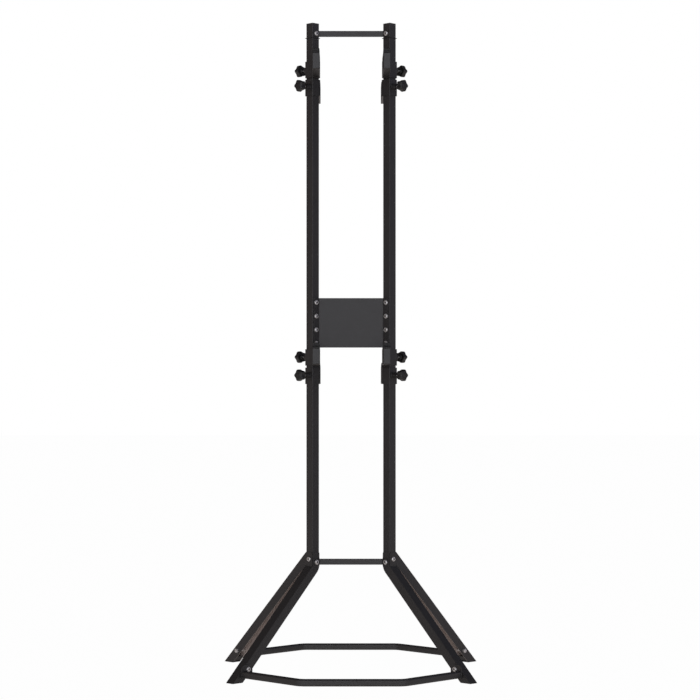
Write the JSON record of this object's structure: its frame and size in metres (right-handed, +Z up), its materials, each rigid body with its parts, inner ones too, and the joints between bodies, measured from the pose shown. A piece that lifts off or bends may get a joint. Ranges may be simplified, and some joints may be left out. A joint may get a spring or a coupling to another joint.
{
  "type": "vertical bike rack",
  "caption": "Free-standing bike rack: two square posts on splayed legs with bowed base bars, and height-adjustable padded arms clamped by star knobs to hold bikes by the top tube.",
  "frame": {"origin": "on the floor, under the middle of the footprint", "axes": "+Z up, +X to the right seen from the front, +Y to the rear"},
  "size_m": [0.8752, 0.938, 2.165],
  "materials": {
    "powder_coat": "satin black powder coat with a fine orange-peel texture",
    "zinc_fastener": "bright zinc plate",
    "knob_plastic": "moulded black plastic, semi-matt",
    "plug_plastic": "moulded black plastic, satin",
    "cradle_rubber": "matt black rubber",
    "foot_plastic": "moulded black plastic, matt"
  },
  "bodies": {
    "frame": {"base_bar_bolts": "zinc_fastener", "base_bar_nuts": "zinc_fastener", "bottom_crossbar": "powder_coat", "centre_panel": "powder_coat", "front_base_bar": "powder_coat", "front_foot_plugs": "foot_plastic", "front_left_leg": "powder_coat", "front_right_leg": "powder_coat", "left_lower_post": "powder_coat", "left_post_top": "powder_coat", "left_splice": "powder_coat", "left_upper_post": "powder_coat", "leg_bolts": "zinc_fastener", "leg_nuts": "zinc_fastener", "panel_bolts": "zinc_fastener", "panel_nuts": "zinc_fastener", "rear_base_bar": "powder_coat", "rear_foot_plugs": "foot_plastic", "rear_left_leg": "powder_coat", "rear_right_leg": "powder_coat", "right_lower_post": "powder_coat", "right_post_top": "powder_coat", "right_splice": "powder_coat", "right_upper_post": "powder_coat", "top_crossbar": "powder_coat", "top_crossbar_bolts": "zinc_fastener", "top_crossbar_nuts": "zinc_fastener"},
    "upper_left_front_slider": {"upper_left_front_arm": "powder_coat", "upper_left_front_cradle_pad": "cradle_rubber", "upper_left_front_end_plug": "plug_plastic"},
    "upper_left_front_star": {"upper_left_front_knob": "knob_plastic"},
    "upper_left_rear_slider": {"upper_left_rear_arm": "powder_coat", "upper_left_rear_cradle_pad": "cradle_rubber", "upper_left_rear_end_plug": "plug_plastic"},
    "upper_left_rear_star": {"upper_left_rear_knob": "knob_plastic"},
    "upper_right_front_slider": {"upper_right_front_arm": "powder_coat", "upper_right_front_cradle_pad": "cradle_rubber", "upper_right_front_end_plug": "plug_plastic"},
    "upper_right_front_star": {"upper_right_front_knob": "knob_plastic"},
    "upper_right_rear_slider": {"upper_right_rear_arm": "powder_coat", "upper_right_rear_cradle_pad": "cradle_rubber", "upper_right_rear_end_plug": "plug_plastic"},
    "upper_right_rear_star": {"upper_right_rear_knob": "knob_plastic"},
    "lower_left_front_slider": {"lower_left_front_arm": "powder_coat", "lower_left_front_cradle_pad": "cradle_rubber", "lower_left_front_end_plug": "plug_plastic"},
    "lower_left_front_star": {"lower_left_front_knob": "knob_plastic"},
    "lower_left_rear_slider": {"lower_left_rear_arm": "powder_coat", "lower_left_rear_cradle_pad": "cradle_rubber", "lower_left_rear_end_plug": "plug_plastic"},
    "lower_left_rear_star": {"lower_left_rear_knob": "knob_plastic"},
    "lower_right_front_slider": {"lower_right_front_arm": "powder_coat", "lower_right_front_cradle_pad": "cradle_rubber", "lower_right_front_end_plug": "plug_plastic"},
    "lower_right_front_star": {"lower_right_front_knob": "knob_plastic"},
    "lower_right_rear_slider": {"lower_right_rear_arm": "powder_coat", "lower_right_rear_cradle_pad": "cradle_rubber", "lower_right_rear_end_plug": "plug_plastic"},
    "lower_right_rear_star": {"lower_right_rear_knob": "knob_plastic"}
  },
  "joints": [
    {"name": "upper_left_front_slide", "type": "slide", "parent": "frame", "child": "upper_left_front_slider", "axis": [0, 0, 1], "range_m": [-0.33, 0.07]},
    {"name": "upper_left_front_knob_turn", "type": "hinge", "parent": "upper_left_front_slider", "child": "upper_left_front_star", "pos_m": [-0.16336, 0.00436, 2.01], "axis": [-0.7071, 0.7071, 0], "continuous": true},
    {"name": "upper_left_rear_slide", "type": "slide", "parent": "upper_left_front_slider", "child": "upper_left_rear_slider", "axis": [0, 0, 1], "range_m": [-0.33, 0]},
    {"name": "upper_left_rear_knob_turn", "type": "hinge", "parent": "upper_left_rear_slider", "child": "upper_left_rear_star", "pos_m": [-0.16336, -0.06635, 1.95], "axis": [-0.7071, -0.7071, 0], "continuous": true},
    {"name": "upper_right_front_slide", "type": "slide", "parent": "frame", "child": "upper_right_front_slider", "axis": [0, 0, 1], "range_m": [-0.33, 0.07]},
    {"name": "upper_right_front_knob_turn", "type": "hinge", "parent": "upper_right_front_slider", "child": "upper_right_front_star", "pos_m": [0.16336, 0.00436, 2.01], "axis": [0.7071, 0.7071, 0], "continuous": true},
    {"name": "upper_right_rear_slide", "type": "slide", "parent": "upper_right_front_slider", "child": "upper_right_rear_slider", "axis": [0, 0, 1], "range_m": [-0.33, 0]},
    {"name": "upper_right_rear_knob_turn", "type": "hinge", "parent": "upper_right_rear_slider", "child": "upper_right_rear_star", "pos_m": [0.16336, -0.06635, 1.95], "axis": [0.7071, -0.7071, 0], "continuous": true},
    {"name": "lower_left_front_slide", "type": "slide", "parent": "frame", "child": "lower_left_front_slider", "axis": [0, 0, 1], "range_m": [-0.27, 0]},
    {"name": "lower_left_front_knob_turn", "type": "hinge", "parent": "lower_left_front_slider", "child": "lower_left_front_star", "pos_m": [-0.16336, 0.00436, 1.052], "axis": [-0.7071, 0.7071, 0], "continuous": true},
    {"name": "lower_left_rear_slide", "type": "slide", "parent": "lower_left_front_slider", "child": "lower_left_rear_slider", "axis": [0, 0, 1], "range_m": [-0.27, 0]},
    {"name": "lower_left_rear_knob_turn", "type": "hinge", "parent": "lower_left_rear_slider", "child": "lower_left_rear_star", "pos_m": [-0.16336, -0.06635, 0.9905], "axis": [-0.7071, -0.7071, 0], "continuous": true},
    {"name": "lower_right_front_slide", "type": "slide", "parent": "frame", "child": "lower_right_front_slider", "axis": [0, 0, 1], "range_m": [-0.27, 0]},
    {"name": "lower_right_front_knob_turn", "type": "hinge", "parent": "lower_right_front_slider", "child": "lower_right_front_star", "pos_m": [0.16336, 0.00436, 1.052], "axis": [0.7071, 0.7071, 0], "continuous": true},
    {"name": "lower_right_rear_slide", "type": "slide", "parent": "lower_right_front_slider", "child": "lower_right_rear_slider", "axis": [0, 0, 1], "range_m": [-0.27, 0]},
    {"name": "lower_right_rear_knob_turn", "type": "hinge", "parent": "lower_right_rear_slider", "child": "lower_right_rear_star", "pos_m": [0.16336, -0.06635, 0.9905], "axis": [0.7071, -0.7071, 0], "continuous": true}
  ]
}
